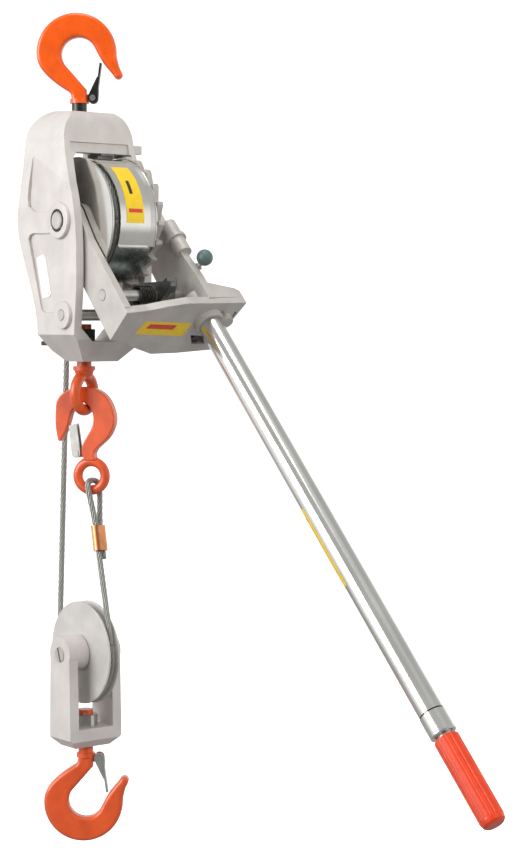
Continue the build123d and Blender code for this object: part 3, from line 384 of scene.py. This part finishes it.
def spline_points(route, resolution=10):
    """Points of the smooth line with these control points."""
    curve = bpy.data.curves.new("route", "CURVE")
    curve.dimensions = "3D"
    spline = curve.splines.new("NURBS")
    spline.points.add(len(route) - 1)
    for point, place in zip(spline.points, route):
        point.co = (*place, 1.0)
    spline.order_u = 3
    spline.use_endpoint_u = True
    spline.resolution_u = resolution
    holder = bpy.data.objects.new("route", curve)
    bpy.context.scene.collection.objects.link(holder)
    mesh = bpy.data.meshes.new_from_object(holder)
    points = [v.co.copy() for v in mesh.vertices]
    bpy.data.objects.remove(holder)
    return points


loop_route = [on_loop(-3.3, 75), on_loop(-3.3, 50), on_loop(-3.3, 34), on_loop(-9.6, -1), on_loop(-8.4, -8.6),
              on_loop(0, -10.8), on_loop(8.4, -8.6), on_loop(9.6, -1), on_loop(3.3, 34), on_loop(3.3, 50),
              on_loop(3.3, 66)]
eye = rope_object("rope_eye", [spline_points(loop_route)])
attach(eye, "frame")
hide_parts("rope_loop")


# ---- Rope wound on the drum -----------------------------------------------------------------------------
def turned(profile, place, steps, closed):
    """Vertices and faces of a profile turned full circle; place(reach, along, angle) gives each point."""
    verts = [place(reach, along, 2 * pi * step / steps) for step in range(steps) for reach, along in profile]
    faces = []
    size = len(profile)
    for step in range(steps):
        here = step * size
        following = (step + 1) % steps * size
        for row in range(size if closed else size - 1):
            other = (row + 1) % size
            faces.append((here + row, here + other, following + other, following + row))
    return verts, faces


def about_drum(radius, y, angle):
    return DRUM + Vector((radius * cos(angle), y, radius * sin(angle)))


turns = []
for turn in range(-4, 0):
    ring = DRUM + Vector((0, ROPE_Y + TURN_PITCH * turn, 0))
    turns.append(circle_points(ring, WIND_R, 0, 2 * pi))
for turn in range(0, 3):
    ring = DRUM + Vector((0, ROPE_Y + TURN_PITCH * turn, 0))
    turns.append(circle_points(ring, INNER_WIND_R, 0, 2 * pi))
last_turn = DRUM + Vector((0, ROPE_Y, 0))
turns.append(circle_points(last_turn, WIND_R, leave_at - TURN_START_GAP, leave_at - LAST_TURN))
wound = rope_object("rope_on_drum", turns)
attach(wound, "drum")
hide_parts("rope_coil")
core_profile = [(0.0282, -0.0255), (0.0565, -0.0255), (0.0565, 0.0), (0.050, 0.0005), (0.050, 0.0193),
                (0.0282, 0.0193)]
core_verts, core_faces = turned(core_profile, about_drum, 96, True)
core = mesh_object("rope_layers_below", core_verts, core_faces, STRAND, False)
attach(core, "drum")


# ---- Labels, all blank -----------------------------------------------------------------------------------
def on_wall(y, crest, lift_mm=LABEL_LIFT):
    """Point on the yoke wall's front face, from millimetres across and towards the crest."""
    return DRUM + ALONG * (WALL_FACE + lift_mm * 0.001) + ACROSS * (y * 0.001) + CREST * (crest * 0.001)


def sheet_piece(name, outline, material, depth):
    """Thin flat piece: an outline and its backing, depth behind it."""
    count = len(outline)
    verts = list(outline) + [point - depth for point in outline]
    faces = [tuple(range(count)), tuple(reversed(range(count, 2 * count)))]
    for index in range(count):
        other = (index + 1) % count
        faces.append((index, index + count, other + count, other))
    return mesh_object(name, verts, faces, material, False)


backing = ALONG * 0.0002
wall_label = sheet_piece("wall_label", [on_wall(-7.1, -1.7), on_wall(53.7, -4.8), on_wall(51.2, -24.0),
                                        on_wall(-11.1, -20.5)], YELLOW, backing)
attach(wall_label, "yoke")
bar_corners = [(1, -5.5), (36, -7.3), (33.5, -14), (-2, -12)]
bar = sheet_piece("wall_label_bar", [on_wall(y, crest, PRINT_LIFT) for y, crest in bar_corners], RED, backing)
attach(bar, "yoke")


def curved_patch(name, body, material, steps, place):
    """Thin closed patch on a round surface; place(share, side, depth) gives its points."""
    verts = []
    faces = []
    for depth in (0, 1):
        for step in range(steps + 1):
            verts += [place(step / steps, side, depth) for side in (0, 1)]
    back = 2 * (steps + 1)
    for step in range(steps):
        a = 2 * step
        faces.append((a, a + 1, a + 3, a + 2))
        faces.append((back + a, back + a + 2, back + a + 3, back + a + 1))
        faces.append((a, a + 2, back + a + 2, back + a))
        faces.append((a + 1, back + a + 1, back + a + 3, a + 3))
    faces.append((0, back, back + 1, 1))
    last = 2 * steps
    faces.append((last, last + 1, back + last + 1, back + last))
    piece = mesh_object(name, verts, faces, material, False)
    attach(piece, body)


def band_patch(name, low_y, high_y, start, end, lift, material):
    """Curved patch on the guard band, between two angles in degrees."""
    def place(share, side, depth):
        angle = radians(start + (end - start) * share)
        return about_drum(BAND_R + lift - BAND_LABEL_DEPTH * depth, (low_y, high_y)[side], angle)

    curved_patch(name, "frame", material, 24, place)


def tube_patch(name, low_s, high_s, start, end, lift_mm, material):
    """Curved patch on the handle tube, between two distances from the drum and two angles in degrees."""
    def place(share, side, depth):
        angle = radians(start + (end - start) * share)
        out = ACROSS * cos(angle) + CREST * sin(angle)
        reach = TUBE_R + lift_mm * 0.001 - TUBE_LABEL_DEPTH * depth
        return DRUM + ACROSS * TUBE_Y + ALONG * (high_s, low_s)[side] + out * reach

    curved_patch(name, "yoke", material, 16, place)


band_patch("band_label", -0.0095, 0.0125, -3, 57, 0.00025, YELLOW)
band_patch("band_label_stripe", -0.0065, 0.0105, 6.5, 10, 0.0004, RED)
band_patch("band_label_mark", -0.002, 0.002, 24, 38, 0.0004, INK)
tube_patch("tube_label", 0.392, 0.487, 190, 290, LABEL_LIFT, YELLOW)
tube_patch("tube_label_bar", 0.400, 0.479, 215, 262, PRINT_LIFT, RED)


# ---- Studio ------------------------------------------------------------------------------------------------
def ramp_level(tree, source, low, high, stops):
    """Brightness ramp over a value that runs from low to high."""
    spread = tree.nodes.new("ShaderNodeMapRange")
    spread.inputs["From Min"].default_value = low
    spread.inputs["From Max"].default_value = high
    tree.links.new(source, spread.inputs["Value"])
    greys = [(place, (level, level, level)) for place, level in stops]
    return ramp_colour(tree.nodes, tree.links, spread.outputs["Result"], greys)


def studio_world():
    """Bright round the horizon, dark above it and towards the front, for reflections with contrast."""
    world = bpy.data.worlds.new("studio")
    bpy.context.scene.world = world
    world.use_nodes = True
    tree = world.node_tree
    tree.nodes.clear()
    coords = tree.nodes.new("ShaderNodeTexCoord")
    split = tree.nodes.new("ShaderNodeSeparateXYZ")
    tree.links.new(coords.outputs["Generated"], split.inputs["Vector"])
    height = ramp_level(tree, split.outputs["Z"], -1.0, 1.0, [
        (0.0, 0.35), (0.36, 0.45), (0.45, 1.0), (0.62, 1.0), (0.74, 0.55), (0.93, 0.5), (1.0, 0.9)])
    front = tree.nodes.new("ShaderNodeVectorMath")
    front.operation = "DOT_PRODUCT"
    front.inputs[1].default_value = (0.893, -0.413, 0.136)
    tree.links.new(coords.outputs["Generated"], front.inputs[0])
    side = ramp_level(tree, front.outputs["Value"], 0.72, 1.0, [(0.0, 1.0), (0.75, 0.06)])
    product = tree.nodes.new("ShaderNodeMix")
    product.data_type = "RGBA"
    product.blend_type = "MULTIPLY"
    product.inputs["Factor"].default_value = 1.0
    colour_a, colour_b, colour_out = product.inputs[6], product.inputs[7], product.outputs[2]
    tree.links.new(height.outputs["Color"], colour_a)
    tree.links.new(side.outputs["Color"], colour_b)
    soft = tree.nodes.new("ShaderNodeBackground")
    tree.links.new(colour_out, soft.inputs["Color"])
    soft.inputs["Strength"].default_value = 1.0
    white = tree.nodes.new("ShaderNodeBackground")
    white.inputs["Color"].default_value = (1, 1, 1, 1)
    path = tree.nodes.new("ShaderNodeLightPath")
    mix = tree.nodes.new("ShaderNodeMixShader")
    tree.links.new(path.outputs["Is Camera Ray"], mix.inputs["Fac"])
    tree.links.new(soft.outputs["Background"], mix.inputs[1])
    tree.links.new(white.outputs["Background"], mix.inputs[2])
    output = tree.nodes.new("ShaderNodeOutputWorld")
    tree.links.new(mix.outputs["Shader"], output.inputs["Surface"])


def area_light(name, place, target, size, power, colour=(1, 1, 1)):
    light = bpy.data.lights.new(name, "AREA")
    light.shape = "RECTANGLE"
    light.size, light.size_y = size
    light.energy = power
    light.color = colour
    lamp = bpy.data.objects.new(name, light)
    lamp.location = place
    lamp.rotation_euler = (Vector(target) - Vector(place)).to_track_quat("-Z", "Y").to_euler()
    bpy.context.scene.collection.objects.link(lamp)
    return lamp


studio_world()
low, high = cad_box
middle = (Vector(low) + Vector(high)) / 2
area_light("key", (-0.5, -2.6, 0.5), middle, (1.8, 1.8), 66)
area_light("overhead", (0.4, -0.3, 2.2), middle, (1.2, 1.2), 20)
fill = area_light("fill", (2.5, -0.2, 0.7), middle, (1.6, 1.6), 42, (1.0, 0.97, 0.94))
fill.visible_glossy = False

# Round studio bowl: floor, cove and wall in one surface, not seen by the object's own reflections
FLOOR_GAP = 0.03
FLOOR_R = 3.2
COVE_R = 2.4
WALL_TOP = 5.0
bowl_profile = [(0.0, 0.0), (FLOOR_R, 0.0)]
for step in range(1, 10):
    angle = radians(10 * step)
    bowl_profile.append((FLOOR_R + COVE_R * sin(angle), COVE_R - COVE_R * cos(angle)))
bowl_profile.append((FLOOR_R + COVE_R, WALL_TOP))
bowl_centre = Vector((middle.x, middle.y, Vector(low).z - FLOOR_GAP))


def about_bowl(reach, rise, angle):
    return bowl_centre + Vector((reach * cos(angle), reach * sin(angle), rise))


floor_material, _, _, floor_shader = new_material("pale_floor")
floor_shader.inputs["Base Color"].default_value = (0.8, 0.8, 0.8, 1)
floor_shader.inputs["Roughness"].default_value = 0.8
floor_shader.inputs["Emission Color"].default_value = (1, 1, 1, 1)
floor_shader.inputs["Emission Strength"].default_value = 0.7
floor = mesh_object("floor", *turned(bowl_profile, about_bowl, 64, False), floor_material)
floor.visible_diffuse = False
floor.visible_glossy = False

camera_data = bpy.data.cameras.new("camera")
camera_data.lens = 88.94
camera_data.sensor_width = 36.0
camera_data.sensor_fit = "AUTO"
camera = bpy.data.objects.new("camera", camera_data)
camera.location = (1.87269, -1.27118, -0.27889)
azimuth, pitch = radians(51.0), radians(2.944)
towards = -Vector((sin(azimuth) * cos(pitch), -cos(azimuth) * cos(pitch), sin(pitch)))
camera.rotation_euler = towards.to_track_quat("-Z", "Y").to_euler()
bpy.context.scene.collection.objects.link(camera)
bpy.context.scene.camera = camera
bpy.context.scene.view_settings.view_transform = "Standard"
